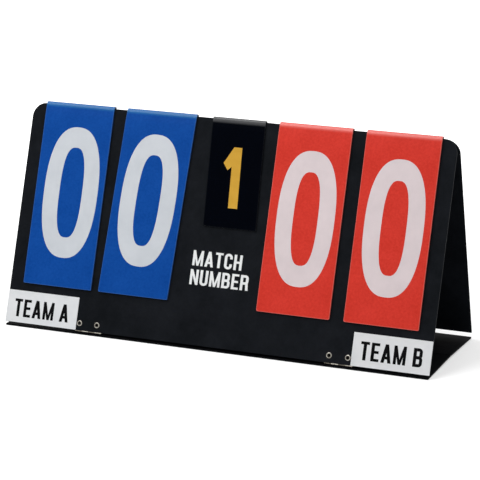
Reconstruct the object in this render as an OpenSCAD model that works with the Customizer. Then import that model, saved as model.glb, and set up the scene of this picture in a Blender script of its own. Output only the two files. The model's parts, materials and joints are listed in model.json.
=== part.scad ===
// Tabletop flip scoreboard: a folding tent of two boards on a two-piece base,
// with five stacks of number leaves that turn over the ridge.
// Units are millimetres. X runs along the width, -Y is the front, Z is up.

/* [Boards] */
// width of both boards
board_w = 775; // [740:1:820]
// height of the front board, measured along its face
board_h = 388.5; // [370:0.5:410]
// thickness of both boards
board_t = 3; // [2:0.5:4]
// radius of the boards' top corners
corner_r = 25; // [10:1:40]
// front board's lower edge above the front hinge pin, along the board
front_rise = 0.5; // [0.3:0.1:3]
// rear board's lower edge above the rear hinge pin, along the board
rear_rise = 6.4; // [1:0.1:7]
// ridge pin below the front board's top edge, along the board
ridge_drop = 2.4; // [2.2:0.1:4]
// how much lower the rear board's top edge sits than the front board's
rear_short = 2; // [1.5:0.1:4]

/* [Base] */
// how far each end of the base stays inside the ends of the boards
base_inset = 1.5; // [0:0.5:20]
// front-to-back length of one base half
base_leaf = 126.3; // [118:0.1:132]
// thickness of the base halves
base_t = 3; // [2:0.5:4]
// reach of the base in front of the front hinge pin
edge_reach = 5.6; // [5:0.1:9]
// gap between the two base halves
middle_gap = 0.6; // [0.4:0.1:2]

/* [Hinges] */
// length of each hinge
hinge_len = 49; // [44:1:60]
// depth of a hinge plate from the pin to its far edge
plate_depth = 19; // [19:0.5:24]
// thickness of a hinge plate
plate_t = 0.8; // [0.7:0.05:1]
// diameter of a hinge pin
pin_d = 1.8; // [1.6:0.1:2.2]
// radial running clearance of a pin in its knuckles
pin_clear = 0.05; // [0.03:0.01:0.08]
// end gap between neighbouring knuckles
knuckle_gap = 0.3; // [0.25:0.05:0.6]
// clearance around the other plate's knuckles
knuckle_relief = 0.4; // [0.3:0.1:0.8]
// eyelet holes: distance from the hinge pin
hole_y = 12.8; // [12.4:0.1:13.4]
// eyelet holes: half their spacing along the hinge
hole_x = 16.5; // [12:0.5:17]

/* [Eyelets] */
// diameter of an eyelet's visible head
head_d = 10.6; // [9:0.1:11]
// diameter of an eyelet's rolled end
roll_d = 8.4; // [7.6:0.1:9]
// thickness of head and rolled end
flange_t = 0.6; // [0.5:0.05:0.65]
// outside diameter of an eyelet's barrel
tube_d = 6; // [5:0.1:6.4]
// diameter of the hole through an eyelet
eye_d = 4.6; // [3:0.1:4.8]
// radial clearance of an eyelet in its hole
tube_clear = 0.05; // [0.02:0.01:0.2]

/* [Labels] */
// width of a name plate
label_w = 136; // [100:1:137]
// height of a name plate
label_h = 56; // [40:1:64]
// thickness of a name plate
label_t = 0.8; // [0.5:0.1:1]
// name plate above the front board's lower edge
label_rise = 0.2; // [0:0.1:4]
// space between a name plate and the nearest eyelet head
label_clear = 0.7; // [0.3:0.1:5]

/* [Leaf stacks] */
// how much closer than even spacing the two stacks of one colour hang
pair_closer = 1.5; // [0:0.5:4]
// centre of the small middle stack
middle_stack_x = 2; // [-6:0.5:6]
// width of a large leaf
leaf_w = 130; // [100:1:132]
// width of a small leaf
small_leaf_w = 96; // [60:1:98]
// hanging length of a large leaf below the board's top edge
leaf_drop = 318; // [250:1:322]
// hanging length of a small leaf below the board's top edge
small_leaf_drop = 185; // [120:1:240]
// leaves that stay under the front one in a large stack
leaf_count = 9; // [5:1:9]
// leaves that stay under the front one in the small stack
small_leaf_count = 5; // [4:1:9]
// thickness of one leaf
leaf_t = 0.18; // [0.12:0.02:0.18]
// spacing of the leaves where they hang
hang_pitch = 0.3; // [0.26:0.02:0.34]
// spacing of the leaves on the ridge
ridge_pitch = 0.21; // [0.2:0.01:0.24]
// lean of the inner left stack, in degrees
inner_lean = 2; // [-2:0.1:2]
// lean of the small stack, in degrees
middle_lean = -2.1; // [-3:0.1:3]

/* [Ridge strips] */
// thickness of a ridge strip's front flange
strip_t = 0.8; // [0.6:0.1:1]
// thickness of a ridge strip's top flange
strip_top_t = 0.6; // [0.5:0.1:0.8]
// height of a ridge strip's front flange
strip_drop = 9; // [6:0.5:9]
// depth of a ridge strip's top flange behind the board's face
strip_reach = 4.9; // [4.4:0.1:5]

/* [Hidden] */
$fn = 48;
eps = 0.01;
base_w = board_w - 2 * base_inset;
lower_hinge_x = board_w / 2 - label_w - label_clear - head_d / 2 - hole_x;
stack_space = (board_w - 4 * leaf_w - small_leaf_w) / 6;
outer_stack_x = board_w / 2 - stack_space - leaf_w / 2;
inner_stack_x = outer_stack_x - leaf_w - stack_space + pair_closer;
knuckle_r = pin_d / 2 + pin_clear + plate_t;
face_n = knuckle_r + board_t;
pin_reach = base_leaf - edge_reach + middle_gap / 2;
run_to_stop = pin_reach - hole_y + head_d / 2;
run_depth = knuckle_r - flange_t;
base_tilt = atan(run_depth / run_to_stop) + asin(knuckle_r / norm([run_to_stop, run_depth]));
pin_height = base_t + 2 * knuckle_r;
pin_y = -pin_reach * cos(base_tilt) - pin_height * sin(base_tilt);
pin_z = knuckle_r - pin_reach * sin(base_tilt) + pin_height * cos(base_tilt);
pivot_len = board_h + front_rise - ridge_drop;
lean_back = asin(-pin_y / pivot_len);
rear_top = pivot_len + ridge_drop - rear_short;
board_top = pivot_len + ridge_drop;
segment = (hinge_len - 3 * knuckle_gap) / 4;
plate_start = knuckle_r + knuckle_relief;
stack_gap = 0.05;
nest_gap = 0.03;
bend_start = 0.12;
free_gap = 0.33;
hang_start = strip_t + stack_gap;
ridge_start = strip_top_t + stack_gap;
bend_step = hang_pitch + ridge_pitch - sqrt(2) * (leaf_t + nest_gap);
lip_t = 0.8;
lip_clear = 0.35;
joint_gap = 0.22;
slope_drop = 0.162;
straight = 2;
bore_over = 1;
fold_lift = 0.1;
root_inset = 0.1;

// frame of the front board: Z runs up the board from the hinge pin, -Y faces out
module on_front() {
  translate([0, pin_y, pin_z])
    rotate([-lean_back, 0, 0])
      children();
}

// frame of the front base half: Y runs to the middle from the hinge pin, Z = 0 is its top face
module on_base() {
  translate([0, 0, knuckle_r])
    rotate([base_tilt, 0, 0])
      translate([0, -pin_reach, base_t + knuckle_r])
        children();
}

// the rear half of the stand is the front half turned about the upright axis
module turned() {
  rotate([0, 0, 180])
    children();
}

// frame of one leaf stack: origin on the front board's top front edge
module on_stack(x) {
  on_front()
    translate([x, -face_n, board_top])
      children();
}

// both sides of the stand
module both(x) {
  for (side = [-1, 1])
    translate([side * x, 0, 0])
      children();
}

// two holes for eyelets, along X
module eyelet_holes() {
  for (x = [-hole_x, hole_x])
    translate([x, 0, -board_t - base_t])
      cylinder(h = 2 * (board_t + base_t), d = tube_d + 2 * tube_clear);
}

// a flat board with rounded top corners, between two heights above its lower hinge pin
module board_sheet(bottom, top) {
  difference() {
    union() {
      translate([-board_w / 2, -face_n, bottom])
        cube([board_w, board_t, top - corner_r - bottom]);
      translate([-board_w / 2 + corner_r, -face_n, bottom])
        cube([board_w - 2 * corner_r, board_t, top - bottom]);
      both(board_w / 2 - corner_r)
        translate([0, -knuckle_r, top - corner_r])
          rotate([90, 0, 0])
            cylinder(h = board_t, r = corner_r);
    }
    both(lower_hinge_x)
      translate([0, -face_n, hole_y])
        rotate([90, 0, 0])
          eyelet_holes();
    both(outer_stack_x)
      translate([0, -face_n, pivot_len - hole_y])
        rotate([90, 0, 0])
          eyelet_holes();
  }
}

module base_half() {
  on_base()
    difference() {
      translate([-base_w / 2, -edge_reach, -base_t])
        cube([base_w, base_leaf, base_t]);
      both(lower_hinge_x) {
        translate([0, hole_y, 0])
          eyelet_holes();
        translate([0, pin_reach - hole_y, 0])
          eyelet_holes();
      }
    }
}

module base_front() {
  color([0.09, 0.095, 0.1])
    base_half();
}

module base_rear() {
  color([0.09, 0.095, 0.1])
    turned()
      base_half();
}

module front_board() {
  color([0.1, 0.105, 0.11])
    on_front()
      board_sheet(front_rise, board_top);
}

module rear_board() {
  color([0.1, 0.105, 0.11])
    turned()
      on_front()
        board_sheet(rear_rise, rear_top);
}

// one hinge plate: pin along X at the origin, plate towards +Y, mounting face below
module hinge_plate() {
  difference() {
    union() {
      translate([-hinge_len / 2, plate_start, -knuckle_r])
        cube([hinge_len, plate_depth - plate_start, plate_t]);
      for (i = [0, 2])
        translate([-hinge_len / 2 + i * (segment + knuckle_gap), 0, 0]) {
          translate([0, 0, -knuckle_r])
            cube([segment, plate_start + eps, plate_t]);
          rotate([0, 90, 0])
            cylinder(h = segment, r = knuckle_r);
        }
    }
    translate([-hinge_len / 2 - bore_over, 0, 0])
      rotate([0, 90, 0])
        cylinder(h = hinge_len + 2 * bore_over, d = pin_d + 2 * pin_clear);
    translate([0, hole_y, 0])
      eyelet_holes();
  }
}

module hinge_pin() {
  translate([-hinge_len / 2, 0, 0])
    rotate([0, 90, 0])
      cylinder(h = hinge_len, d = pin_d);
}

module lower_board_plate(side) {
  color([0.62, 0.6, 0.56])
    on_front()
      translate([side * lower_hinge_x, 0, 0])
        rotate([90, 0, 180])
          hinge_plate();
}

module lower_base_plate(side) {
  color([0.62, 0.6, 0.56])
    on_base()
      translate([side * lower_hinge_x, 0, knuckle_r])
        hinge_plate();
}

module lower_pin(side) {
  color([0.72, 0.7, 0.66])
    on_front()
      translate([side * lower_hinge_x, 0, 0])
        hinge_pin();
}

module middle_plate(side) {
  color([0.62, 0.6, 0.56])
    on_base()
      translate([side * lower_hinge_x, pin_reach, -base_t - knuckle_r])
        rotate([180, 0, 0])
          hinge_plate();
}

module middle_pin(side) {
  color([0.72, 0.7, 0.66])
    on_base()
      translate([side * lower_hinge_x, pin_reach, -base_t - knuckle_r])
        hinge_pin();
}

module ridge_plate(side) {
  color([0.62, 0.6, 0.56])
    on_front()
      translate([side * outer_stack_x, 0, pivot_len])
        rotate([-90, 0, 0])
          hinge_plate();
}

module ridge_pin(side) {
  color([0.72, 0.7, 0.66])
    on_front()
      translate([side * outer_stack_x, 0, pivot_len])
        hinge_pin();
}

// one eyelet: head above Z = 0, barrel through what it clamps, rolled end below
module eyelet(grip) {
  difference() {
    union() {
      cylinder(h = flange_t, d1 = head_d, d2 = head_d - flange_t);
      translate([0, 0, -grip - flange_t / 2])
        cylinder(h = grip + flange_t, d = tube_d);
      translate([0, 0, -grip - flange_t])
        cylinder(h = flange_t, d = roll_d);
    }
    translate([0, 0, -grip - 2 * flange_t])
      cylinder(h = grip + 4 * flange_t, d = eye_d);
  }
}

module eyelet_pair(grip) {
  for (x = [-hole_x, hole_x])
    translate([x, 0, 0])
      eyelet(grip);
}

module base_eyelets() {
  on_base()
    both(lower_hinge_x) {
      translate([0, hole_y, -base_t])
        rotate([180, 0, 0])
          eyelet_pair(base_t + plate_t);
      translate([0, pin_reach - hole_y, 0])
        eyelet_pair(base_t + plate_t);
    }
}

module board_eyelets() {
  on_front() {
    both(lower_hinge_x)
      translate([0, -face_n, hole_y])
        rotate([90, 0, 0])
          eyelet_pair(board_t + plate_t);
    both(outer_stack_x)
      translate([0, -face_n, pivot_len - hole_y])
        rotate([90, 0, 0])
          eyelet_pair(board_t + plate_t);
  }
}

module base_front_eyelets() {
  color([0.75, 0.73, 0.68])
    base_eyelets();
}

module base_rear_eyelets() {
  color([0.75, 0.73, 0.68])
    turned()
      base_eyelets();
}

module front_board_eyelets() {
  color([0.75, 0.73, 0.68])
    board_eyelets();
}

module rear_board_eyelets() {
  color([0.75, 0.73, 0.68])
    turned()
      board_eyelets();
}

module name_plate(side) {
  color([0.86, 0.87, 0.88])
    on_front()
      translate([side * (board_w - label_w) / 2 - label_w / 2, -face_n - label_t, front_rise + label_rise])
        cube([label_w, label_t, label_h]);
}

// offsets of a bent line, for sheets of even thickness
function unit(v) = v / norm(v);
function side_of(v) = [-v[1], v[0]];
function heading(path, i) = unit(path[i + 1] - path[i]);
function edge_at(path, i) =
  i == 0 ? side_of(heading(path, 0)) :
  i == len(path) - 1 ? side_of(heading(path, i - 1)) :
  (side_of(heading(path, i - 1)) + side_of(heading(path, i)))
    / (1 + heading(path, i - 1) * heading(path, i));
function one_side(path, off) = [for (i = [0 : len(path) - 1]) path[i] + off * edge_at(path, i)];
function backwards(path) = [for (i = [len(path) - 1 : -1 : 0]) path[i]];

// middle line of a leaf that stays, as [distance out of the board, height above its top edge]
function stay_out(i) = hang_start + i * hang_pitch + leaf_t / 2;
function stay_up(i) = ridge_start + i * ridge_pitch + leaf_t / 2;
function stay_bend(i) = bend_start + i * bend_step;
function stay_path(i) = [
  [-strip_reach, stay_up(i)],
  [stay_out(i) - stay_bend(i), stay_up(i)],
  [stay_out(i), stay_up(i) - stay_bend(i)]
];

// where the front leaf of a stack turns
function free_sum(count) =
  stay_out(count - 1) + stay_up(count - 1) - stay_bend(count - 1) + sqrt(2) * (leaf_t + free_gap);
function free_out(count) = stay_out(count - 1) + leaf_t + free_gap;
function fold_up(count) = stay_up(count - 1) + leaf_t + free_gap + fold_lift;
function fold_out(count) = free_sum(count) - fold_up(count);
function root_out() = root_inset - strip_reach;
function root_up(count) = fold_up(count) + slope_drop * (fold_out(count) - root_out());

// a sheet of leaf material along a path, given as [out, up]
module sheet(path, width) {
  shape = concat(one_side(path, leaf_t / 2), backwards(one_side(path, -leaf_t / 2)));
  translate([-width / 2, 0, 0])
    rotate([90, 0, 90])
      linear_extrude(height = width)
        polygon([for (p = shape) [-p[0], p[1]]]);
}

// the hanging part of a leaf, which may lean to one side
module hanging(out, top, width, drop, lean) {
  shift = -tan(lean) * (drop + top);
  half = width / 2;
  translate([0, leaf_t / 2 - out, 0])
    rotate([90, 0, 0])
      linear_extrude(height = leaf_t)
        polygon([
          [-half, top + eps], [half, top + eps], [half, top],
          [half + shift, -drop], [-half + shift, -drop], [-half, top]
        ]);
}

// a whole leaf: bent sheet over the ridge, then the hanging part
module leaf(path, width, drop, lean) {
  last = path[len(path) - 1];
  top = last[1] - straight;
  sheet(concat(path, [[last[0], top]]), width);
  hanging(last[0], top, width, drop, lean);
}

module leaf_pack(count, width, drop, lean) {
  for (i = [0 : count - 1])
    leaf(stay_path(i), width, drop, lean);
}

module leaf_neck(count, width) {
  root = [root_out(), root_up(count)];
  fold = [fold_out(count), fold_up(count)];
  sheet([root, fold - joint_gap * unit(fold - root)], width);
}

module front_leaf(count, width, drop, lean) {
  fold = [fold_out(count), fold_up(count)];
  bend = [free_out(count), free_sum(count) - free_out(count)];
  leaf([fold + joint_gap * unit(bend - fold), bend], width, drop, lean);
}

// black strip that binds a stack and sits over the front board's top edge
module ridge_strip(count, width) {
  lip_h = root_up(count) - leaf_t / 2 - lip_clear;
  translate([-width / 2, -strip_t, -strip_drop])
    cube([width, strip_t, strip_drop + strip_top_t]);
  translate([-width / 2, -strip_t, 0])
    cube([width, strip_t + strip_reach, strip_top_t]);
  translate([-width / 2, strip_reach, 0])
    cube([width, lip_t, lip_h]);
}

module large_strip(x) {
  color([0.08, 0.085, 0.09])
    on_stack(x)
      ridge_strip(leaf_count, leaf_w);
}

module large_pack(x, lean, tint) {
  color(tint)
    on_stack(x)
      leaf_pack(leaf_count, leaf_w, leaf_drop, lean);
}

module large_neck(x, tint) {
  color(tint)
    on_stack(x)
      leaf_neck(leaf_count, leaf_w);
}

module large_leaf(x, lean, tint) {
  color(tint)
    on_stack(x)
      front_leaf(leaf_count, leaf_w, leaf_drop, lean);
}

module small_strip() {
  color([0.08, 0.085, 0.09])
    on_stack(middle_stack_x)
      ridge_strip(small_leaf_count, small_leaf_w);
}

module small_pack() {
  color([0.03, 0.03, 0.035])
    on_stack(middle_stack_x)
      leaf_pack(small_leaf_count, small_leaf_w, small_leaf_drop, middle_lean);
}

module small_neck() {
  color([0.03, 0.03, 0.035])
    on_stack(middle_stack_x)
      leaf_neck(small_leaf_count, small_leaf_w);
}

module small_leaf() {
  color([0.03, 0.03, 0.035])
    on_stack(middle_stack_x)
      front_leaf(small_leaf_count, small_leaf_w, small_leaf_drop, middle_lean);
}

blue = [0.1, 0.3, 0.6];
red = [0.84, 0.22, 0.18];

base_front();
base_rear();
front_board();
rear_board();
lower_board_plate(-1);  // front_hinge_left_board_plate
lower_base_plate(-1);  // front_hinge_left_base_plate
lower_pin(-1);  // front_hinge_left_pin
lower_board_plate(1);  // front_hinge_right_board_plate
lower_base_plate(1);  // front_hinge_right_base_plate
lower_pin(1);  // front_hinge_right_pin
turned() lower_board_plate(1);  // rear_hinge_left_board_plate
turned() lower_base_plate(1);  // rear_hinge_left_base_plate
turned() lower_pin(1);  // rear_hinge_left_pin
turned() lower_board_plate(-1);  // rear_hinge_right_board_plate
turned() lower_base_plate(-1);  // rear_hinge_right_base_plate
turned() lower_pin(-1);  // rear_hinge_right_pin
middle_plate(-1);  // middle_hinge_left_front_plate
turned() middle_plate(1);  // middle_hinge_left_rear_plate
middle_pin(-1);  // middle_hinge_left_pin
middle_plate(1);  // middle_hinge_right_front_plate
turned() middle_plate(-1);  // middle_hinge_right_rear_plate
middle_pin(1);  // middle_hinge_right_pin
ridge_plate(-1);  // ridge_hinge_left_front_plate
turned() ridge_plate(1);  // ridge_hinge_left_rear_plate
ridge_pin(-1);  // ridge_hinge_left_pin
ridge_plate(1);  // ridge_hinge_right_front_plate
turned() ridge_plate(-1);  // ridge_hinge_right_rear_plate
ridge_pin(1);  // ridge_hinge_right_pin
base_front_eyelets();
base_rear_eyelets();
front_board_eyelets();
rear_board_eyelets();
name_plate(-1);  // name_plate_left
name_plate(1);  // name_plate_right
large_strip(-outer_stack_x);  // blue_outer_strip
large_pack(-outer_stack_x, 0, blue);  // blue_outer_pack
large_neck(-outer_stack_x, blue);  // blue_outer_neck
large_leaf(-outer_stack_x, 0, blue);  // blue_outer_leaf
large_strip(-inner_stack_x);  // blue_inner_strip
large_pack(-inner_stack_x, inner_lean, blue);  // blue_inner_pack
large_neck(-inner_stack_x, blue);  // blue_inner_neck
large_leaf(-inner_stack_x, inner_lean, blue);  // blue_inner_leaf
small_strip();
small_pack();
small_neck();
small_leaf();
large_strip(inner_stack_x);  // red_inner_strip
large_pack(inner_stack_x, 0, red);  // red_inner_pack
large_neck(inner_stack_x, red);  // red_inner_neck
large_leaf(inner_stack_x, 0, red);  // red_inner_leaf
large_strip(outer_stack_x);  // red_outer_strip
large_pack(outer_stack_x, 0, red);  // red_outer_pack
large_neck(outer_stack_x, red);  // red_outer_neck
large_leaf(outer_stack_x, 0, red);  // red_outer_leaf
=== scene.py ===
"""Looks of the tabletop flip scoreboard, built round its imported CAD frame. Metres, in the CAD frame."""
import json
import math

import bmesh
import bpy
from mathutils import Matrix, Vector


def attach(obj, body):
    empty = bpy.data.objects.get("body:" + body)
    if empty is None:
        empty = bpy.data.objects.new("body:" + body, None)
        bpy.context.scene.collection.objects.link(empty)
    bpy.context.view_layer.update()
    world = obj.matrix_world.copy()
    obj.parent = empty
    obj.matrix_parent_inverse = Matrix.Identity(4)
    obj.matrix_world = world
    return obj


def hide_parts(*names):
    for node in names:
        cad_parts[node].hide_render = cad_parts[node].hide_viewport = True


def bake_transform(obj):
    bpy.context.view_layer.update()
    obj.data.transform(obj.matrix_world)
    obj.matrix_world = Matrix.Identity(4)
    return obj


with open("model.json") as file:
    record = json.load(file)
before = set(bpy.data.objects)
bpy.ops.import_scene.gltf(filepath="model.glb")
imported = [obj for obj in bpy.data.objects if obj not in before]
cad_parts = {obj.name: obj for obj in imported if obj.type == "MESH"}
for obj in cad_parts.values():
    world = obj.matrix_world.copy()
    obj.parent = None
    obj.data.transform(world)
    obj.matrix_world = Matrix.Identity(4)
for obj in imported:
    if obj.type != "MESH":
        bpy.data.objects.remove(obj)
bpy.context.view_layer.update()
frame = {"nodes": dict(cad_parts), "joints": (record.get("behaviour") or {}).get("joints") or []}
NODES = frame["nodes"]
JOINTS = {j["name"]: j for j in frame["joints"]}
MM = 0.001

# Boards and base: sizes repeated from the CAD source, in millimetres
BOARD_W = 775.0
BOARD_T = 3.0
BASE_T = 3.0
BOARD_TOP = 389.0
PIVOT_LEN = 386.6
PIN_REACH = 121.0

# Hinges, eyelets and name plates, also from the CAD source
KNUCKLE_R = 1.75
PLATE_T = 0.8
HOLE_X = 16.5
HOLE_Y = 12.8
EYELET_HEAD_R = 5.3
EYELET_ROLL_R = 4.2
EYELET_BARREL_R = 3.0
EYELET_BORE_R = 2.3
EYELET_RISE = 0.6
LABEL_W = 136.0
LABEL_T = 0.8
LABEL_CLEAR = 0.7
PINS_TO_FACE = KNUCKLE_R + BOARD_T
LOWER_HINGE_X = BOARD_W / 2 - LABEL_W - LABEL_CLEAR - EYELET_HEAD_R - HOLE_X

# Leaf stacks and the strips that bind them, also from the CAD source
LEAF_W = 130.0
LEAF_DROP = 318.0
LEAF_COUNT = 9
SMALL_W = 96.0
SMALL_DROP = 185.0
SMALL_COUNT = 5
SMALL_X = 2.0
SMALL_LEAN = -2.1
BLUE_INNER_LEAN = 2.0
PAIR_CLOSER = 1.5
STACK_SPACE = (BOARD_W - 4 * LEAF_W - SMALL_W) / 6
OUTER_X = BOARD_W / 2 - STACK_SPACE - LEAF_W / 2
INNER_X = OUTER_X - LEAF_W - STACK_SPACE + PAIR_CLOSER
STRIP_T = 0.8
STRIP_TOP_T = 0.6
STRIP_REACH = 4.9
LEAF_T = 0.18
STACK_GAP = 0.05
HANG_PITCH = 0.3
RIDGE_PITCH = 0.21
NEST_GAP = 0.03
BEND_START = 0.12
BEND_STEP = HANG_PITCH + RIDGE_PITCH - math.sqrt(2) * (LEAF_T + NEST_GAP)
FREE_GAP = 0.33
FOLD_LIFT = 0.1
ROOT_INSET = 0.1
SLOPE_DROP = 0.162

# Shoulders of the leaves, in millimetres and degrees: a leaf further out has a longer one
SHOULDER_START = 0.6
SHOULDER_DEPTH = 0.3
SHOULDER_GROWTH = 0.35
FRONT_SHOULDER_DEPTH = 0.45
FRONT_SHOULDER_TURN = 86.0

# A front leaf is pulled in by TUCK under its shoulder, then stands out by BELLY, in millimetres
TUCK = 0.26
BELLY = 0.3
TUCK_TOP = 3.5
TUCK_LENGTH = 15.0
BELLY_LENGTH = 45.0

# Points and steps along the leaves, in millimetres out from the board's face or down from its top edge
NECK_POINTS = (ROOT_INSET - STRIP_REACH, -3.4, -2.0, -0.8)
RIDGE_POINT = -1.5
HANG_POINT = 12.0
FRONT_HANG_POINT = 100.0
FINE_STEP = 1.5
FINE_END = 20.0
COARSE_STEP = 5.0
CORNER_BAND = 4.0

# Paler rim of a leaf, in millimetres from its cut edge, and painted highlight at its fold, from its bound end
RIM_END = 1.3
RIM_FULL = 0.4
RIDGE_END = 5.0
CREST = 9.0
FOLD_START = 11.0
FOLD_END = 17.0

# Print lies this far above what carries it, and each further shape of it one layer higher, in millimetres
LAYER = 0.0015
INK_LIFT = 0.03
FRONT_INK_LIFT = 0.04
SMALL_INK_LIFT = 0.12

# Softened edges, in millimetres and degrees
SHEET_EDGE = 0.5
HINGE_EDGE = 0.12
FINE_EDGE = 0.15
BEVEL_ANGLE = 40
SHARP_ANGLE = 50
WELD_REACH = 0.002

# Places on the stand, worked out as in the CAD source
PIN_Y = JOINTS["front_fold"]["pos_m"][1] / MM
PIN_Z = JOINTS["front_fold"]["pos_m"][2] / MM
LEAN_BACK = math.asin(-PIN_Y / PIVOT_LEN)
RUN_TO_STOP = PIN_REACH - HOLE_Y + EYELET_HEAD_R
RUN_DEPTH = KNUCKLE_R - EYELET_RISE
BASE_TILT = math.atan(RUN_DEPTH / RUN_TO_STOP) + math.asin(KNUCKLE_R / math.hypot(RUN_TO_STOP, RUN_DEPTH))
ON_FRONT = Matrix.Translation((0, PIN_Y, PIN_Z)) @ Matrix.Rotation(-LEAN_BACK, 4, "X")
ON_BASE = (Matrix.Translation((0, 0, KNUCKLE_R)) @ Matrix.Rotation(BASE_TILT, 4, "X")
           @ Matrix.Translation((0, -PIN_REACH, BASE_T + KNUCKLE_R)))
TURNED = Matrix.Rotation(math.pi, 4, "Z")
FACING_OUT = Matrix.Rotation(math.pi / 2, 4, "X")
FACING_DOWN = Matrix.Rotation(math.pi, 4, "X")
TO_METRES = Matrix.Scale(MM, 4)


def on_face(x, out, up):
    """Point on the front board: x across, out from its face, up above its top edge."""
    return (TO_METRES @ ON_FRONT @ Vector((x, -(out + PINS_TO_FACE), BOARD_TOP + up, 1)))[:3]


# Materials

class Shading:
    """Adds nodes to the tree of a material or of the world, and joins them."""

    def __init__(self, tree):
        self.nodes = tree.nodes
        self.links = tree.links

    def node(self, kind, **settings):
        n = self.nodes.new(kind)
        for name, value in settings.items():
            setattr(n, name, value)
        return n

    def feed(self, socket, value):
        """Gives a socket what another node puts out, or a plain value."""
        if isinstance(value, bpy.types.NodeSocket):
            self.links.new(value, socket)
        else:
            socket.default_value = value

    def made(self, kind, output, inputs, **settings):
        """Adds a node with its settings and inputs, and returns one of its outputs."""
        n = self.node(kind, **settings)
        for name, value in inputs.items():
            self.feed(n.inputs[name], value)
        return n.outputs[output]

    def maths(self, operation, *values):
        return self.made("ShaderNodeMath", 0, dict(enumerate(values)), operation=operation)

    def coordinates(self, source, scale=(1, 1, 1)):
        c = self.node("ShaderNodeTexCoord")
        return self.made("ShaderNodeMapping", "Vector", {"Vector": c.outputs[source], "Scale": scale})

    def parts(self, vector):
        """The three numbers of a vector."""
        split = self.node("ShaderNodeSeparateXYZ")
        self.feed(split.inputs[0], vector)
        return split.outputs

    def noise(self, vector, scale, detail=4.0, roughness=0.5):
        return self.made("ShaderNodeTexNoise", "Fac",
                         {"Vector": vector, "Scale": scale, "Detail": detail, "Roughness": roughness})

    def ramp(self, factor, stops):
        """Colour by the factor, from stops of a place and a colour."""
        n = self.node("ShaderNodeValToRGB")
        elements = n.color_ramp.elements
        for element, (place, colour) in zip(elements, (stops[0], stops[-1])):
            element.position = place
            element.color = (*colour, 1)
        for place, colour in stops[1:-1]:
            elements.new(place).color = (*colour, 1)
        self.feed(n.inputs["Fac"], factor)
        return n.outputs["Color"]

    def tone(self, factor, low, high, start=0.35, end=0.65):
        """Colour that runs from low to high as the factor goes from start to end."""
        return self.ramp(factor, [(start, low), (end, high)])

    def spread(self, factor, low, high):
        """Number that runs from low to high as the factor goes from 0 to 1."""
        return self.made("ShaderNodeMapRange", "Result", {"Value": factor, "To Min": low, "To Max": high})

    def between(self, value, start, end, low, high):
        """Number that runs smoothly from low at start to high at end."""
        return self.made("ShaderNodeMapRange", "Result",
                         {"Value": value, "From Min": start, "From Max": end, "To Min": low, "To Max": high},
                         interpolation_type="SMOOTHSTEP")

    def mixed(self, factor, a, b, blend_type="MIX"):
        return self.made("ShaderNodeMix", "Result", {"Factor": factor, "A": a, "B": b},
                         data_type="RGBA", blend_type=blend_type)

    def bump(self, height, strength, distance, after=None):
        """Relief of a height, laid over the relief made before it."""
        inputs = {"Height": height, "Strength": strength, "Distance": distance}
        if after is not None:
            inputs["Normal"] = after
        return self.made("ShaderNodeBump", "Normal", inputs)


class Look(Shading):
    """A new material and its shader."""

    def __init__(self, name):
        self.material = bpy.data.materials.new(name)
        self.material.use_nodes = True
        super().__init__(self.material.node_tree)
        self.shader = self.nodes["Principled BSDF"]

    def finish(self, **inputs):
        """Feeds the shader's inputs, written with underscores for spaces, and returns the material."""
        for name, value in inputs.items():
            self.feed(self.shader.inputs[name.replace("_", " ")], value)
        return self.material


def grained(name, dark, light, rough, cell=0.0011, depth=0.00006, specular=0.04):
    """Black sheet with a fine leather grain: rounded cells, cloudy tone, uneven sheen."""
    look = Look(name)
    place = look.coordinates("Object")
    cells = look.made("ShaderNodeTexVoronoi", "Distance",
                      {"Vector": place, "Scale": 1 / cell, "Smoothness": 0.6, "Randomness": 0.9},
                      feature="SMOOTH_F1")
    cloud = look.noise(place, scale=14.0, detail=9.0, roughness=0.78)
    fine = look.noise(place, scale=1400.0, detail=2.0)
    sheen = look.noise(place, scale=38.0, detail=6.0, roughness=0.65)
    coarse = look.bump(cells, strength=0.55, distance=depth)
    return look.finish(
        Base_Color=look.tone(cloud, dark, light),
        Roughness=look.spread(sheen, *rough),
        Normal=look.bump(fine, strength=0.25, distance=depth * 0.5, after=coarse),
        Specular_IOR_Level=specular)


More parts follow.
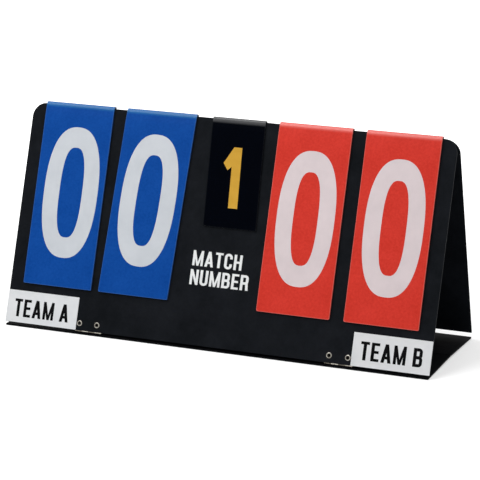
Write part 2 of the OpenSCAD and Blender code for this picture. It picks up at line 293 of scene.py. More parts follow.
def vinyl(name, dark, light, rim, painted_fold_highlight, rough, specular, polish=0.8):
    """Vinyl leaf: mottled ink over a woven cloth, slow waves, a paler rim, and a polished coat and a painted
    highlight at the fold.
    """
    look = Look(name)
    place = look.coordinates("UV")
    cloud = look.noise(place, scale=22.0, detail=4.0, roughness=0.6)
    speckle = look.noise(place, scale=230.0, detail=5.0, roughness=0.75)
    mottle = look.maths("MULTIPLY_ADD", speckle, 0.65, look.maths("MULTIPLY", cloud, 0.35))
    tone = look.tone(mottle, dark, light, start=0.40, end=0.60)

    edge = look.node("ShaderNodeUVMap", uv_map="Edge")
    from_cut_edge, from_bound_end, _ = look.parts(edge.outputs["UV"])
    near_rim = look.between(from_cut_edge, RIM_END * MM, RIM_FULL * MM, 0.0, 0.32)
    past_ridge = look.between(from_bound_end, RIDGE_END * MM, CREST * MM, 0.45, 1.0)
    above_fall = look.between(from_bound_end, FOLD_END * MM, FOLD_START * MM, 0.0, 1.0)
    near_fold = look.maths("MULTIPLY", past_ridge, above_fall)
    tone = look.mixed(near_rim, tone, (*rim, 1))
    # Painted highlight: the fold's base colour is lightened towards the fold colour.
    tone = look.mixed(look.spread(near_fold, 0.0, 0.48), tone, (*painted_fold_highlight, 1))

    sheen = look.noise(place, scale=60.0, detail=5.0, roughness=0.6)
    threads = [look.made("ShaderNodeTexWave", "Fac",
                         {"Vector": place, "Scale": 260.0, "Distortion": 0.6, "Detail": 1.0},
                         bands_direction=axis)
               for axis in ("X", "Y")]
    weave = look.maths("MULTIPLY", *threads)
    slow = look.noise(place, scale=11.0, detail=2.0, roughness=0.4)
    waves = look.bump(slow, strength=0.35, distance=0.0016)
    return look.finish(
        Base_Color=tone,
        Roughness=look.spread(sheen, *rough),
        Normal=look.bump(weave, strength=0.35, distance=0.00002, after=waves),
        Specular_IOR_Level=specular,
        Coat_Weight=look.spread(near_fold, 0.0, polish),
        Coat_Roughness=0.22)


def card_edge(name, dark, light):
    """Cut edges of stacked vinyl leaves, with an uneven tone."""
    look = Look(name)
    place = look.coordinates("Object")
    return look.finish(
        Base_Color=look.tone(look.noise(place, scale=500.0), dark, light),
        Roughness=look.spread(look.noise(place, scale=1500.0, detail=2.0), 0.45, 0.65))


def ink(name, dark, light, rough, specular=0.18):
    """Screen printed ink: slightly uneven tone and a fine dry texture."""
    look = Look(name)
    place = look.coordinates("Object")
    cloud = look.noise(place, scale=30.0, detail=5.0, roughness=0.6)
    fine = look.noise(place, scale=900.0, detail=3.0)
    return look.finish(
        Base_Color=look.tone(cloud, dark, light),
        Roughness=look.spread(fine, rough - 0.07, rough + 0.07),
        Normal=look.bump(fine, strength=0.2, distance=0.00002),
        Specular_IOR_Level=specular)


def plated(name, dark, light, rough, along=(40, 900, 900), crown=None):
    """Nickel plated steel: fine drawn lines and cloudy tarnish.

    A rivet's crown is its brightness at some radii in millimetres, painted: shade in its bore and a highlight
    round its head. Its UV holds the radius.
    """
    look = Look(name)
    lines = look.noise(look.coordinates("Object", along), scale=1.0, detail=3.0, roughness=0.6)
    tarnish = look.noise(look.coordinates("Object"), scale=160.0, detail=5.0, roughness=0.65)
    tone = look.tone(tarnish, dark, light, start=0.3, end=0.62)
    if crown:
        widest = 6.0
        radius = look.maths("MULTIPLY", look.parts(look.coordinates("UV"))["Y"], 1 / (widest * MM))
        # Painted shade in the bore and painted highlight on the head, by radius.
        painted_shade_and_highlight = look.ramp(radius, [(r / widest, (level,) * 3) for r, level in crown])
        tone = look.mixed(1.0, tone, painted_shade_and_highlight, "MULTIPLY")
    return look.finish(
        Base_Color=tone,
        Roughness=look.spread(lines, *rough),
        Normal=look.bump(lines, strength=0.25, distance=0.00002),
        Metallic=1.0)


BOARD = grained("board_grain", dark=(0.0027, 0.0036, 0.0049), light=(0.0082, 0.0095, 0.0123),
                rough=(0.50, 0.68))
BASE = grained("base_grain", dark=(0.0014, 0.0015, 0.0021), light=(0.0036, 0.0038, 0.0047),
               rough=(0.50, 0.68), specular=0.02)
STRIP = grained("strip_grain", dark=(0.0036, 0.0040, 0.0046), light=(0.0062, 0.0066, 0.0074),
                rough=(0.44, 0.58), cell=0.0007, depth=0.00003)
# The fold colours of the vinyls are painted highlights on the leaves' folds.
BLUE = vinyl("vinyl_blue", dark=(0.0016, 0.049, 0.258), light=(0.0048, 0.066, 0.318),
             rim=(0.070, 0.180, 0.420), painted_fold_highlight=(0.002, 0.170, 0.375),
             rough=(0.28, 0.40), specular=0.05, polish=0.48)
RED = vinyl("vinyl_red", dark=(0.545, 0.030, 0.018), light=(0.640, 0.042, 0.028),
            rim=(0.720, 0.280, 0.240), painted_fold_highlight=(0.820, 0.150, 0.125),
            rough=(0.32, 0.46), specular=0.08)
BLACK = vinyl("vinyl_black", dark=(0.0002, 0.0006, 0.0020), light=(0.0005, 0.0011, 0.0032),
              rim=(0.012, 0.013, 0.015), painted_fold_highlight=(0.080, 0.082, 0.087),
              rough=(0.16, 0.26), specular=0.012)
# The blue and red cut edges are painted darker than their faces: painted shade on the stacks' sides.
BLUE_SHADED_EDGE = card_edge("vinyl_blue_edge_painted_shade", dark=(0.006, 0.018, 0.070), light=(0.018, 0.046, 0.140))
RED_SHADED_EDGE = card_edge("vinyl_red_edge_painted_shade", dark=(0.130, 0.018, 0.014), light=(0.300, 0.060, 0.048))
BLACK_EDGE = card_edge("vinyl_black_edge", dark=(0.002, 0.002, 0.003), light=(0.008, 0.008, 0.009))
WHITE_INK = ink("ink_white", dark=(0.520, 0.548, 0.585), light=(0.560, 0.586, 0.622), rough=0.50)
WARM_INK = ink("ink_warm_white", dark=(0.632, 0.549, 0.563), light=(0.677, 0.587, 0.600), rough=0.50)
GOLD_INK = ink("ink_gold", dark=(0.520, 0.285, 0.026), light=(0.590, 0.330, 0.036), rough=0.45)
BLACK_INK = ink("ink_black", dark=(0.0014, 0.0014, 0.0018), light=(0.0030, 0.0030, 0.0034), rough=0.45,
                specular=0.04)
LETTER_INK = ink("ink_letter_white", dark=(0.720, 0.735, 0.735), light=(0.770, 0.785, 0.785), rough=0.55)
LABEL = ink("label_white", dark=(0.650, 0.665, 0.680), light=(0.700, 0.710, 0.722), rough=0.48)
HINGE = plated("hinge_nickel", dark=(0.10, 0.088, 0.070), light=(0.34, 0.305, 0.25), rough=(0.28, 0.48))
# A lighter copy of the hinge nickel for the boards' hinge plates: painted highlight on their knuckles.
HINGE_HIGHLIGHTED = plated("hinge_nickel_painted_highlight", dark=(0.38, 0.345, 0.285), light=(0.84, 0.79, 0.70),
                      rough=(0.22, 0.40))
PIN = plated("pin_nickel", dark=(0.24, 0.21, 0.17), light=(0.46, 0.42, 0.36), rough=(0.20, 0.36))
# The eyelets' crown paints shade in their bores and a highlight round their heads.
EYELET = plated("eyelet_nickel", dark=(0.16, 0.145, 0.12), light=(0.56, 0.53, 0.47), rough=(0.16, 0.34),
                along=(700, 700, 700),
                crown=((2.3, 0.03), (3.1, 0.08), (3.7, 0.90), (4.4, 0.80), (4.9, 0.10)))

# Face, cut edge, record slot and ink of each stack, by the word its name starts with; blue and red cut edges
# hold painted shade
COLOURS = {
    "blue": (BLUE, BLUE_SHADED_EDGE, "leaf_blue", WHITE_INK),
    "red": (RED, RED_SHADED_EDGE, "leaf_red", WARM_INK),
    "small": (BLACK, BLACK_EDGE, "leaf_black", GOLD_INK),
}


# Meshes

def make_object(name, bm, *materials):
    mesh = bpy.data.meshes.new(name)
    bm.to_mesh(mesh)
    bm.free()
    o = bpy.data.objects.new(name, mesh)
    bpy.context.scene.collection.objects.link(o)
    for m in materials:
        mesh.materials.append(m)
    return o


def give(node, material, edge, segments=2):
    """A CAD node keeps its shape and gets a material and softened edges."""
    o = NODES[node]
    o.data.materials.clear()
    o.data.materials.append(material)
    weld = o.modifiers.new("weld", "WELD")
    weld.merge_threshold = WELD_REACH * MM
    bevel = o.modifiers.new("soft_edges", "BEVEL")
    bevel.width = edge * MM
    bevel.segments = segments
    bevel.limit_method = "ANGLE"
    bevel.angle_limit = math.radians(BEVEL_ANGLE)


def smooth(o):
    for p in o.data.polygons:
        p.use_smooth = True
    o.data.set_sharp_from_angle(angle=math.radians(SHARP_ANGLE))


# Leaves. A leaf's line is its points, each given by out from the board's face and up above its top edge.

def hang_out(i):
    """Middle of leaf i where it hangs."""
    return STRIP_T + STACK_GAP + i * HANG_PITCH + LEAF_T / 2


def ridge_up(i):
    """Middle of leaf i on the ridge."""
    return STRIP_TOP_T + STACK_GAP + i * RIDGE_PITCH + LEAF_T / 2


def shoulder(out, up, depth, turn=90.0, steps=12):
    """Soft shoulder of a leaf: a quarter of an ellipse from the ridge down to the hanging part."""
    line = []
    for k in range(steps + 1):
        angle = math.radians(turn * (1 - k / steps))
        line.append((SHOULDER_START + (out - SHOULDER_START) * math.cos(angle),
                     (up + depth) * math.sin(angle) - depth))
    return line


def stay_line(i, drop):
    """Line of an under leaf: from its bound end over the ridge and down."""
    out, up = hang_out(i), ridge_up(i)
    line = [(-STRIP_REACH, up), (RIDGE_POINT, up)]
    line += shoulder(out, up, SHOULDER_DEPTH + SHOULDER_GROWTH * i)
    return line + [(out, -HANG_POINT), (out, -drop + CORNER_BAND), (out, -drop)]


def ease(t):
    """Runs smoothly from 0 to 1 as t does, and stays level outside that stretch."""
    t = min(max(t, 0.0), 1.0)
    return t * t * (3 - 2 * t)


def belly(up, hang):
    """How far a front leaf stands out at a height: pulled in under its shoulder, a little full below it."""
    down = -up - TUCK_TOP
    return (hang - TUCK + (TUCK + BELLY) * ease(down / TUCK_LENGTH)
            - BELLY * ease((down - TUCK_LENGTH) / BELLY_LENGTH))


def front_line(count, drop):
    """Line of a front leaf: along the neck, round a soft shoulder, then down over a slight belly."""
    top_out, top_up = hang_out(count - 1), ridge_up(count - 1)
    top_bend = BEND_START + (count - 1) * BEND_STEP
    hang = top_out + LEAF_T + FREE_GAP
    fold_up = top_up + LEAF_T + FREE_GAP + FOLD_LIFT
    fold_out = top_out + top_up - top_bend + math.sqrt(2) * (LEAF_T + FREE_GAP) - fold_up

    def neck_up(out):
        return fold_up + SLOPE_DROP * (fold_out - out)

    depth = FRONT_SHOULDER_DEPTH + SHOULDER_GROWTH * count
    out = hang - TUCK
    turn = math.radians(FRONT_SHOULDER_TURN)
    shoulder_out = SHOULDER_START + (out - SHOULDER_START) * math.cos(turn)
    up = (neck_up(shoulder_out) + depth) / math.sin(turn) - depth
    line = [(o, neck_up(o)) for o in NECK_POINTS]
    line += shoulder(out, up, depth, FRONT_SHOULDER_TURN, steps=24)
    low = -depth
    while low > -TUCK_TOP - TUCK_LENGTH - BELLY_LENGTH:
        low -= FINE_STEP if low > -FINE_END else COARSE_STEP
        line.append((belly(low, hang), low))
    return line + [(hang, -FRONT_HANG_POINT), (hang, -drop + CORNER_BAND), (hang, -drop)]


def across(half, corner):
    """Places across a leaf, closer together at its round corners."""
    inner = [corner * f for f in (0, 0.12, 0.35, 0.65, 1.0)] + [CORNER_BAND]
    return [-half + d for d in inner] + [-half / 2, 0, half / 2] + [half - d for d in reversed(inner)]


def sheet_grid(bm, line, x_mid, width, lean, corner):
    """Adds one leaf of even thickness along a line, with small round corners at its lower end.

    The layer UVMap is the leaf laid flat, in metres.
    The layer Edge holds the distances from the nearest cut edge and from the bound end.
    """
    uv, edge = bm.loops.layers.uv["UVMap"], bm.loops.layers.uv["Edge"]
    half = width / 2
    xs = across(half, corner)
    end = len(line) - 1
    last = len(xs) - 1
    lengths = [0.0]
    for a, b in zip(line, line[1:]):
        lengths.append(lengths[-1] + math.dist(a, b))

    def corner_rise(x):
        inset = half - abs(x)
        if inset >= corner:
            return 0.0
        return corner - math.sqrt(max(corner ** 2 - (corner - inset) ** 2, 0.0))

    def face_row(k, side):
        """Vertices across the leaf, with their places on the flat leaf. Side 1 is the front, -1 the back."""
        ahead = (Vector(line[min(k + 1, end)]) - Vector(line[max(k - 1, 0)])).normalized()
        offset = Vector((-ahead.y, ahead.x)) * side * LEAF_T / 2
        row = []
        for x in xs:
            rise = corner_rise(x) if k == end else 0.0
            up = line[k][1] + rise
            shift = math.tan(math.radians(lean)) * (1.0 - up) if up < 0 else 0.0
            v = bm.verts.new(on_face(x_mid + x - shift, line[k][0] + offset.x, up + offset.y))
            row.append((v, x, lengths[k] - rise))
        return row

    def quad(corners, material_index):
        f = bm.faces.new([c[0] for c in corners])
        f.material_index = material_index
        for loop, (_, x, along) in zip(f.loops, corners):
            loop[uv].uv = (x * MM, along * MM)
            loop[edge].uv = (min(half - abs(x), lengths[-1] - along) * MM, along * MM)

    front, back = [], []
    for k in range(len(line)):
        front.append(face_row(k, 1))
        back.append(face_row(k, -1))
    for rows, order in ((front, 1), (back, -1)):
        for upper, lower in zip(rows, rows[1:]):
            for j in range(last):
                quad([upper[j], lower[j], lower[j + 1], upper[j + 1]][::order], 0)
    for k in range(end):
        quad([front[k][0], back[k][0], back[k + 1][0], front[k + 1][0]], 1)
        quad([front[k][last], front[k + 1][last], back[k + 1][last], back[k][last]], 1)
    for j in range(last):
        quad([front[0][j], front[0][j + 1], back[0][j + 1], back[0][j]], 1)
        quad([front[end][j], back[end][j], back[end][j + 1], front[end][j + 1]], 1)


def new_leaves():
    bm = bmesh.new()
    for layer in ("UVMap", "Edge"):
        bm.loops.layers.uv.new(layer)
    return bm


def build_stack(name, x_mid, width, drop, count, lean, corner):
    """The leaves that stay, as one piece, and the front leaf, as another."""
    face, edge, slot, _ = COLOURS[name.split("_")[0]]
    bm = new_leaves()
    for i in range(count):
        sheet_grid(bm, stay_line(i, drop), x_mid, width, lean, corner)
    under = make_object(f"{name}_under_leaves", bm, face, edge)
    smooth(under)
    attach(under, "front_board")
    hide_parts(f"{name}_pack")

    bm = new_leaves()
    line = front_line(count, drop)
    sheet_grid(bm, line, x_mid, width, lean, corner)
    top = make_object(f"{name}_top_leaf", bm, face, edge)
    smooth(top)
    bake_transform(top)
    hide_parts(f"{name}_neck", f"{name}_leaf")


# Numerals and letters

class Print:
    """Flat print. Each shape lies one layer above the one before it, so that no two share a plane."""

    def __init__(self):
        self.bm = bmesh.new()
        self.layer = 0

    def row(self, points):
        return [self.bm.verts.new((p[0], p[1], self.layer)) for p in points]

    def quads(self, left, right):
        """The band between two lines of as many points."""
        self.layer += 1
        a, b = self.row(left), self.row(right)
        for k in range(len(a) - 1):
            self.bm.faces.new((a[k], a[k + 1], b[k + 1], b[k]))

    def bar(self, x0, y0, x1, y1):
        self.quads([(x0, y0), (x1, y0)], [(x0, y1), (x1, y1)])

    def slant(self, x0, y0, x1, y1, width):
        """A leg of even width, measured across the page, from one height to another."""
        self.quads([(x0, y0), (x1, y1)], [(x0 + width, y0), (x1 + width, y1)])

    def stroke(self, line, width):
        """A stroke of even width along a line."""
        left, right = [], []
        last = len(line) - 1
        for k, point in enumerate(line):
            before, after = Vector(line[max(k - 1, 0)]), Vector(line[min(k + 1, last)])
            along = (after - before).normalized()
            grow = 1.0
            if 0 < k < last:
                ahead = (after - Vector(point)).normalized()
                grow = 1 / max(math.sqrt((1 + along.dot(ahead)) / 2), 0.7)
            side = Vector((-along.y, along.x)) * width / 2 * grow
            left.append(Vector(point) + side)
            right.append(Vector(point) - side)
        self.quads(left, right)

    def ring(self, outer, inner, bands=8):
        """The ring between two closed lines of as many points."""
        self.layer += 1
        rows = []
        for r in range(bands + 1):
            t = r / bands
            rows.append(self.row([(p[0] + (q[0] - p[0]) * t, p[1] + (q[1] - p[1]) * t)
                                  for p, q in zip(outer, inner)]))
        for here, there in zip(rows, rows[1:]):
            for k in range(len(outer)):
                e = (k + 1) % len(outer)
                self.bm.faces.new((here[k], here[e], there[e], there[k]))

    def polygon(self, points):
        self.layer += 1
        self.bm.faces.new(self.row(points))


def oval(half_w, half_h, power, count=128):
    """An ellipse at power 2, and squarer above it."""
    points = []
    for k in range(count):
        x, y = math.cos(2 * math.pi * k / count), math.sin(2 * math.pi * k / count)
        points.append((half_w * math.copysign(abs(x) ** (2 / power), x),
                       half_h * math.copysign(abs(y) ** (2 / power), y)))
    return points


def arc(cx, cy, rx, ry, start, end, steps=14):
    points = []
    for k in range(steps + 1):
        angle = math.radians(start + (end - start) * k / steps)
        points.append((cx + rx * math.cos(angle), cy + ry * math.sin(angle)))
    return points


def bowl(page, x0, y0, x1, y1, thick):
    """The bowed part of a B or R, from its stem out and back."""
    radius = min(x1 - x0, y1 - y0) / 2
    half = thick / 2
    bend = radius - half
    line = [(x0, y1 - half), (x1 - radius, y1 - half)]
    line += arc(x1 - radius, y1 - radius, bend, bend, 90, 0)[1:]
    line += arc(x1 - radius, y0 + radius, bend, bend, 0, -90)
    line += [(x0, y0 + half)]
    page.stroke(line, thick)


# Bold narrow capitals, one high. Their level strokes are this much of an upright one's thickness.
LEVEL = 0.86


def letter_t(page, width, thick):
    level = LEVEL * thick
    page.bar(0, 1 - level, width, 1)
    page.bar(width / 2 - thick / 2, 0, width / 2 + thick / 2, 1 - level)


def letter_e(page, width, thick):
    level = LEVEL * thick
    page.bar(0, 0, thick, 1)
    page.bar(thick, 1 - level, width, 1)
    page.bar(thick, 0.5 - level / 2, width * 0.92, 0.5 + level / 2)
    page.bar(thick, 0, width, level)


def letter_a(page, width, thick):
    top = width / 2 - thick / 2
    page.slant(0, 0, top, 1, thick)
    page.slant(width - thick, 0, top, 1, thick)
    page.bar(width * 0.22, 0.2, width * 0.78, 0.2 + LEVEL * thick)


def letter_m(page, width, thick):
    stem, leg, inset = thick * 0.92, thick * 0.78, thick * 0.1
    foot = width / 2 - leg / 2
    page.bar(0, 0, stem, 1)
    page.bar(width - stem, 0, width, 1)
    page.slant(foot, 0, inset, 1, leg)
    page.slant(foot, 0, width - inset - leg, 1, leg)


def letter_n(page, width, thick):
    stem, leg, inset = thick * 0.95, thick * 0.85, thick * 0.1
    page.bar(0, 0, stem, 1)
    page.bar(width - stem, 0, width, 1)
    page.slant(width - inset - leg, 0, inset, 1, leg)


def letter_h(page, width, thick):
    level = LEVEL * thick
    page.bar(0, 0, thick, 1)
    page.bar(width - thick, 0, width, 1)
    page.bar(thick, 0.5 - level / 2, width - thick, 0.5 + level / 2)


def letter_b(page, width, thick):
    overlap = thick * 0.45
    page.bar(0, 0, thick, 1)
    bowl(page, thick / 2, 0.5 - overlap, width * 0.96, 1, thick * 0.95)
    bowl(page, thick / 2, 0, width, 0.5 + overlap, thick * 0.95)


def letter_r(page, width, thick):
    page.bar(0, 0, thick, 1)
    bowl(page, thick / 2, 0.46 - thick / 2, width * 0.97, 1, thick)
    page.slant(width - thick * 1.02, 0, width - thick * 1.25, 0.5, thick)


def letter_c(page, width, thick):
    radius, right = width / 2, width - thick / 2
    bend = radius - thick / 2
    line = [(right, 0.66), (right, 0.72)] + arc(radius, 1.01 - radius, bend, bend, 0, 180)
    line += arc(radius, radius - 0.01, bend, bend, 180, 360) + [(right, 0.34)]
    page.stroke(line, thick)


def letter_u(page, width, thick):
    radius, left, right = width / 2, thick / 2, width - thick / 2
    bend = radius - thick / 2
    turn = arc(radius, radius - 0.01, bend, bend, 180, 360)
    page.stroke([(left, 1), (left, radius)] + turn[1:] + [(right, radius), (right, 1)], thick)


def no_letter(page, width, thick):
    """A space between words."""


# How each letter is drawn and its width, and the gap between letters
LETTERS = {
    "A": (letter_a, 0.55), "B": (letter_b, 0.50), "C": (letter_c, 0.49), "E": (letter_e, 0.44),
    "H": (letter_h, 0.51), "M": (letter_m, 0.66), "N": (letter_n, 0.52), "R": (letter_r, 0.51),
    "T": (letter_t, 0.47), "U": (letter_u, 0.50), " ": (no_letter, 0.16),
}
LETTER_GAP = 0.105


def printed(name, page, material, body):
    """Turns a print to face out from the front board, and lets it ride on a body."""
    bmesh.ops.recalc_face_normals(page.bm, faces=page.bm.faces)
    outward = Vector(on_face(0, 1, 0)) - Vector(on_face(0, 0, 0))
    for f in page.bm.faces:
        f.normal_update()
        if f.normal.dot(outward) < 0:
            f.normal_flip()
    o = make_object(name, page.bm, material)
    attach(o, body)


def words(name, text, x_mid, up_mid, width, height, stroke, out, material):
    """A line of capitals on the front board, fitted to a width."""
    page = Print()
    x = 0.0
    for letter in text:
        draw, letter_width = LETTERS[letter]
        first = len(page.bm.verts)
        draw(page, letter_width, stroke / height)
        for v in list(page.bm.verts)[first:]:
            v.co.x += x
        x += letter_width + LETTER_GAP
    total = x - LETTER_GAP
    for v in page.bm.verts:
        v.co = on_face(x_mid + (v.co.x / total - 0.5) * width, out + v.co.z * LAYER,
                       up_mid + (v.co.y - 0.5) * height)
    printed(name, page, material, "front_board")


def numeral(name, shape, x_mid, up_mid, half_h, half_w, lean, out, material, body, full=False):
    """A numeral, drawn in units of its half height and half width. If full, it follows a leaf's belly."""
    page = Print()
    shape(page)
    angle = math.radians(lean)
    c, s = math.cos(angle), math.sin(angle)
    for v in page.bm.verts:
        x, y = v.co.x * half_w, v.co.y * half_h
        x, y = x * c + y * s, y * c - x * s
        stand = belly(up_mid + y, out) if full else out
        v.co = on_face(x_mid + math.tan(angle) * up_mid + x, stand + v.co.z * LAYER, up_mid + y)
    printed(name, page, material, body)


def zero(page):
    page.ring(oval(1, 1, 2.45), oval(0.425, 0.688, 2.75))


def one(page):
    page.polygon([(0.02, -1), (0.62, -1), (0.62, 1), (0.16, 1), (0.02, 0.86)])
    page.polygon([(0.02, 0.86), (0.16, 1), (0.02, 0.62), (-0.62, 0.25), (-0.62, 0.50)])


def small_one(page):
    """The gold 1, in millimetres on the board's face."""
    page.polygon([(1.8, -151), (18.6, -151), (14.0, -47), (-0.4, -47), (-0.9, -80.5)])
    page.polygon([(-0.4, -47), (-0.9, -80.5), (-7.8, -87), (-16.4, -75)])


def two(page):
    line = [(-0.80, 0.42)] + arc(0, 0.42, 0.80, 0.44, 172, -12, 20)
    line += [(0.66, 0.10), (0.30, -0.20), (-0.40, -0.62), (-0.62, -0.80)]
    page.stroke(line, 0.30)
    page.bar(-0.88, -1, 0.92, -0.72)


# Eyelets

def eyelet(bm, uv, where, grip):
    """One hollow rivet turned from its profile: domed head, barrel, rolled end. Its UV holds the radius."""
    head = [(EYELET_BORE_R, 0.16), (2.42, 0.40), (2.75, 0.55), (3.30, EYELET_RISE), (4.10, 0.52),
            (4.85, 0.32), (5.25, 0.10), (EYELET_HEAD_R, 0.0), (EYELET_BARREL_R, 0.0)]
    rolled = [(EYELET_BARREL_R, 0.0), (4.15, 0.0), (EYELET_ROLL_R, -0.12), (4.05, -0.40), (3.60, -0.57),
              (3.05, -EYELET_RISE), (2.55, -0.48), (2.34, -0.26), (EYELET_BORE_R, -0.05)]
    profile = head + [(r, z - grip) for r, z in rolled]
    turns = 40
    rings = []
    for k in range(turns):
        a = 2 * math.pi * k / turns
        rings.append([bm.verts.new((TO_METRES @ where @ Vector((r * math.cos(a), r * math.sin(a), z, 1)))[:3])
                      for r, z in profile])
    for k in range(turns):
        here, there = rings[k], rings[(k + 1) % turns]
        for j in range(len(profile)):
            i = (j + 1) % len(profile)
            f = bm.faces.new((here[j], here[i], there[i], there[j]))
            for loop, point in zip(f.loops, (j, i, i, j)):
                loop[uv].uv = (k / turns, profile[point][0] * MM)


def eyelets(name, node, body, places, grip):
    """A pair of eyelets at each place, which is the middle of a hinge plate."""
    bm = bmesh.new()
    uv = bm.loops.layers.uv.new("UVMap")
    for where in places:
        for x in (-HOLE_X, HOLE_X):
            eyelet(bm, uv, where @ Matrix.Translation((x, 0, 0)), grip)
    bmesh.ops.recalc_face_normals(bm, faces=bm.faces)
    o = make_object(name, bm, EYELET)
    smooth(o)
    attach(o, body)
    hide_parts(node)


# Finishes of the CAD nodes

for node in ("front_board", "rear_board"):
    give(node, BOARD, SHEET_EDGE, 3)
for node in ("base_front", "base_rear"):
    give(node, BASE, SHEET_EDGE, 3)
for node in NODES:
    if node.endswith("_plate") and "hinge" in node:
        # The boards' hinge plates take the lighter copy of the nickel, a painted highlight.
        give(node, HINGE_HIGHLIGHTED if "board" in node else HINGE, HINGE_EDGE)
    elif node.endswith("_pin"):
        give(node, PIN, FINE_EDGE)
    elif node.endswith("_strip"):
        give(node, STRIP, FINE_EDGE)
    elif node.startswith("name_plate"):
        give(node, LABEL, FINE_EDGE)

# Leaf stacks

LARGE = {"width": LEAF_W, "drop": LEAF_DROP, "count": LEAF_COUNT}
SMALL = {"width": SMALL_W, "drop": SMALL_DROP, "count": SMALL_COUNT}
build_stack("blue_outer", -OUTER_X, lean=0.0, corner=2.0, **LARGE)
build_stack("blue_inner", -INNER_X, lean=BLUE_INNER_LEAN, corner=2.5, **LARGE)
build_stack("small", SMALL_X, lean=SMALL_LEAN, corner=1.5, **SMALL)
build_stack("red_inner", INNER_X, lean=0.0, corner=3.0, **LARGE)
build_stack("red_outer", OUTER_X, lean=0.0, corner=2.5, **LARGE)

# Numerals: one on each front leaf, and the next one on the leaf right under it

UNDER_FACE = hang_out(LEAF_COUNT - 1) + LEAF_T / 2
SMALL_UNDER_FACE = hang_out(SMALL_COUNT - 1) + LEAF_T / 2
TO_FRONT_FACE = FREE_GAP + LEAF_T
for stack, x, up, lean in (
        ("blue_outer", -OUTER_X + 2.8, -152.8, 0.0),
        ("blue_inner", -INNER_X + 0.4, -152.6, BLUE_INNER_LEAN),
        ("red_inner", INNER_X + 1.6, -155.5, 0.0),
        ("red_outer", OUTER_X + 1.2, -155.5, 0.0)):
    large = {"x_mid": x, "up_mid": up, "half_h": 114.6, "half_w": 51.3, "lean": lean,
             "material": COLOURS[stack.split("_")[0]][3]}
    numeral(f"{stack}_numeral", zero, out=UNDER_FACE + TO_FRONT_FACE + FRONT_INK_LIFT,
            body=f"{stack}_leaf", full=True, **large)
    numeral(f"{stack}_next_numeral", one, out=UNDER_FACE + INK_LIFT, body="front_board", **large)
numeral("small_numeral", small_one, x_mid=0.0, up_mid=0.0, half_h=1.0, half_w=1.0, lean=0.0,
        out=SMALL_UNDER_FACE + TO_FRONT_FACE + SMALL_INK_LIFT, material=GOLD_INK, body="small_leaf")
numeral("small_next_numeral", two, x_mid=2.5, up_mid=-99.0, half_h=52.0, half_w=24.0, lean=SMALL_LEAN,
        out=SMALL_UNDER_FACE + INK_LIFT, material=GOLD_INK, body="front_board")

# Words on the name plates and on the board

ON_PLATE = {"height": 31.0, "stroke": 5.5, "out": LABEL_T + INK_LIFT, "material": BLACK_INK}
ON_BOARD = {"height": 26.0, "stroke": 4.2, "out": INK_LIFT, "material": LETTER_INK}
words("label_left_words", "TEAM A", x_mid=-320.5, up_mid=-362.6, width=105.0, **ON_PLATE)
words("label_right_words", "TEAM B", x_mid=319.2, up_mid=-361.5, width=107.0, **ON_PLATE)
words("middle_words_upper", "MATCH", x_mid=-6.0, up_mid=-240.8, width=90.0, **ON_BOARD)
words("middle_words_lower", "NUMBER", x_mid=1.5, up_mid=-273.4, width=107.0, **ON_BOARD)

# Eyelets of the hinges: each board and base half has two hinges on each of its long edges

board_places, base_places = [], []
for side in (-1, 1):
    lower_x, upper_x = side * LOWER_HINGE_X, side * OUTER_X
    for point in ((lower_x, -PINS_TO_FACE, HOLE_Y), (upper_x, -PINS_TO_FACE, PIVOT_LEN - HOLE_Y)):
        board_places.append(ON_FRONT @ Matrix.Translation(point) @ FACING_OUT)
    base_places.append(ON_BASE @ Matrix.Translation((lower_x, HOLE_Y, -BASE_T)) @ FACING_DOWN)
    base_places.append(ON_BASE @ Matrix.Translation((lower_x, PIN_REACH - HOLE_Y, 0)))
rear_board_places = [TURNED @ place for place in board_places]
rear_base_places = [TURNED @ place for place in base_places]
eyelets("front_board_rivets", "front_board_eyelets", "front_board", board_places, BOARD_T + PLATE_T)
eyelets("rear_board_rivets", "rear_board_eyelets", "rear_board", rear_board_places, BOARD_T + PLATE_T)
eyelets("base_front_rivets", "base_front_eyelets", "base_front", base_places, BASE_T + PLATE_T)
eyelets("base_rear_rivets", "base_rear_eyelets", "base_rear", rear_base_places, BASE_T + PLATE_T)


# Floor, light and camera

# The world lights surfaces by AMBIENT. The floor, where seen directly, glows as much near the object and by 1
# further off. It changes between these distances from its middle, in metres.
AMBIENT = 0.42
FADE_START = 0.45
FADE_END = 1.6


def seen_directly(shading):
    """1 for what the camera, a mirror or clear glass sees, 0 for light that falls on surfaces."""
    path = shading.node("ShaderNodeLightPath")
    seen = shading.maths("MAXIMUM", path.outputs["Is Camera Ray"], path.outputs["Is Glossy Ray"])
    return shading.maths("MAXIMUM", seen, path.outputs["Is Transmission Ray"])


def floor_look():
    """Pale floor that keeps the soft shadow near the object and runs out into plain white."""
    look = Look("studio_floor")
    place = look.coordinates("Object")
    cloud = look.noise(place, scale=3.0, detail=3.0)
    away = look.node("ShaderNodeVectorMath", operation="LENGTH")
    look.feed(away.inputs[0], place)
    lift = look.made("ShaderNodeMapRange", "Result",
                     {"Value": away.outputs["Value"], "From Min": FADE_START, "From Max": FADE_END,
                      "To Min": AMBIENT, "To Max": 1.0})
    return look.finish(
        Base_Color=look.tone(cloud, (0.80, 0.80, 0.80), (0.83, 0.83, 0.83)),
        Roughness=0.9,
        Specular_IOR_Level=0.1,
        Emission_Color=(1, 1, 1, 1),
        Emission_Strength=look.maths("MULTIPLY", lift, seen_directly(look)))


def lay_floor():
    """A wide floor, a little under the object."""
    bm = bmesh.new()
    bmesh.ops.create_grid(bm, x_segments=8, y_segments=8, size=6.0)
    floor = make_object("studio_floor", bm, floor_look())
    floor.location.z = -0.0003


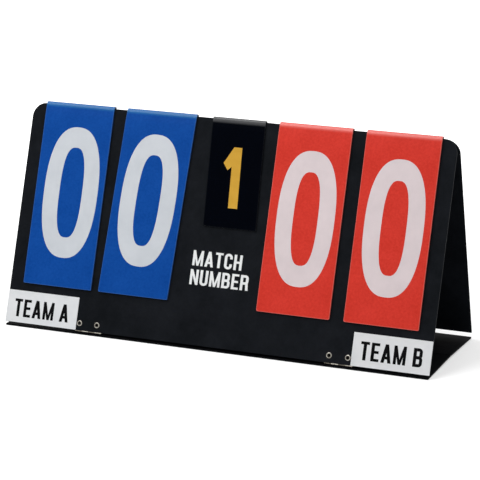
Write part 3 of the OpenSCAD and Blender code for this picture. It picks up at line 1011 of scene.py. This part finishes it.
def light_world():
    """Soft light from all round, and white where the camera sees past the floor."""
    world = bpy.data.worlds.new("studio")
    bpy.context.scene.world = world
    world.use_nodes = True
    shading = Shading(world.node_tree)
    background = shading.nodes["Background"]
    background.inputs["Color"].default_value = (1, 1, 1, 1)
    shading.feed(background.inputs["Strength"], shading.spread(seen_directly(shading), AMBIENT, 1.0))


def area(name, place, size, power, aim=(0, 0, 0.18)):
    light = bpy.data.lights.new(name, "AREA")
    light.shape = "RECTANGLE"
    light.size, light.size_y = size
    light.energy = power
    o = bpy.data.objects.new(name, light)
    o.location = place
    o.rotation_mode = "QUATERNION"
    o.rotation_quaternion = (Vector(aim) - Vector(place)).to_track_quat("-Z", "Y")
    bpy.context.scene.collection.objects.link(o)


def place_camera(azimuth, elevation, roll, distance, aim, focal_px, photo_px=480, sensor=36.0):
    """The photograph's camera, fitted to its outline. Angles in degrees, from the front and from level."""
    az, el, turn = math.radians(azimuth), math.radians(elevation), math.radians(roll)
    back = Vector((math.sin(az) * math.cos(el), -math.cos(az) * math.cos(el), math.sin(el)))
    level_right = Vector((math.cos(az), math.sin(az), 0))
    level_up = back.cross(level_right)
    right = math.cos(turn) * level_right + math.sin(turn) * level_up
    up = -math.sin(turn) * level_right + math.cos(turn) * level_up
    data = bpy.data.cameras.new("camera")
    data.sensor_width = sensor
    data.lens = focal_px * sensor / photo_px
    data.clip_start, data.clip_end = 0.1, 60.0
    camera = bpy.data.objects.new("camera", data)
    bpy.context.scene.collection.objects.link(camera)
    camera.rotation_mode = "QUATERNION"
    camera.rotation_quaternion = Matrix((right, up, back)).transposed().to_quaternion()
    camera.location = Vector(aim) + back * distance
    bpy.context.scene.camera = camera


lay_floor()
light_world()
area("overhead_light", place=(-0.80, -0.90, 2.20), size=(1.5, 2.3), power=41.5, aim=(-0.6, 0, 0.3))
area("fill_light", place=(2.4, -2.2, 1.7), size=(2.0, 2.0), power=18)
area("rear_light", place=(0.9, 1.6, 2.4), size=(1.8, 1.8), power=16)
place_camera(azimuth=21.700, elevation=14.479, roll=0.657, distance=3.79742, aim=(0.003172, 0, 0.165306),
             focal_px=2203.719)
bpy.context.scene.view_settings.view_transform = "Standard"
